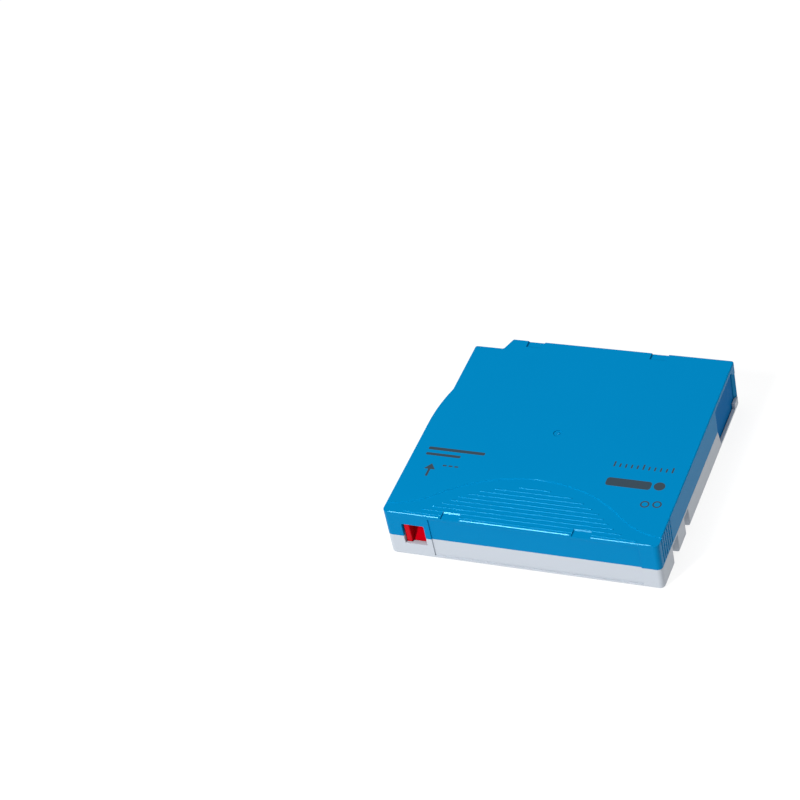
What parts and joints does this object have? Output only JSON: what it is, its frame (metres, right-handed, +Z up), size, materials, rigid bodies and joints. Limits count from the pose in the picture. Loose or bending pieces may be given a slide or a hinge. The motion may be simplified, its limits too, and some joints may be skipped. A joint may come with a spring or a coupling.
{
  "type": "data tape cartridge",
  "caption": "Half-inch single-reel data tape cartridge: two moulded shells with a sliding access door, a write-protect slider and a braked reel inside.",
  "frame": {"origin": "centre of the bounding box at the bottom face, on which the cartridge lies", "axes": "+X to the right along the label face, +Y from the label face to the end that goes into the drive, +Z up"},
  "size_m": [0.1054, 0.102, 0.0215],
  "materials": {
    "blue_case": "fine satin moulded",
    "grey_case": "fine satin moulded",
    "red_slider": "gloss moulded",
    "steel": "bright zinc-plated",
    "spring_steel": "drawn wire",
    "pin_steel": "ground bright",
    "reel_plastic": "moulded",
    "flange_plastic": "moulded",
    "tape": "coated film, wound",
    "film": "leader film",
    "brake_plastic": "moulded acetal",
    "pad_plastic": "moulded acetal",
    "clamp_plastic": "moulded nylon",
    "board": "solder-masked laminate",
    "chip": "moulded epoxy"
  },
  "bodies": {
    "case": {"upper_shell": "blue_case", "lower_shell": "grey_case", "case_screws": "steel", "door_spring": "spring_steel", "brake_spring": "spring_steel", "leader_pin": "pin_steel", "leader_pin_clamp": "clamp_plastic", "tape_leader": "film", "leader_spring_lower": "spring_steel", "leader_spring_upper": "spring_steel", "memory_board": "board", "memory_chip": "chip"},
    "door": {"door": "blue_case"},
    "write_protect": {"write_protect_slider": "red_slider"},
    "reel": {"reel_hub": "reel_plastic", "reel_upper_flange": "flange_plastic", "reel_plate": "steel", "tape_pack": "tape"},
    "brake": {"brake_button": "brake_plastic"},
    "release": {"release_pad": "pad_plastic"}
  },
  "joints": [
    {"name": "door_slide", "type": "slide", "parent": "case", "child": "door", "axis": [0, -1, 0], "range_m": [0, 0.0162], "stiffness_N_per_m": 60, "springref_m": -0.008, "deforming": ["door_spring"]},
    {"name": "write_protect_slide", "type": "slide", "parent": "case", "child": "write_protect", "axis": [1, 0, 0], "range_m": [0, 0.0048]},
    {"name": "reel_spin", "type": "hinge", "parent": "case", "child": "reel", "pos_m": [-0.0012, 0.0005, 0.01075], "axis": [0, 0, 1], "continuous": true},
    {"name": "pad_lift", "type": "slide", "parent": "reel", "child": "release", "axis": [0, 0, 1], "range_m": [0, 0.0018]},
    {"name": "brake_lift", "type": "slide", "parent": "case", "child": "brake", "axis": [0, 0, 1], "range_m": [0, 0.0018], "stiffness_N_per_m": 600, "springref_m": -0.004, "deforming": ["brake_spring"]}
  ],
  "couplings": [
    {"joint": "brake_lift", "follows": "pad_lift", "ratio": 1}
  ]
}
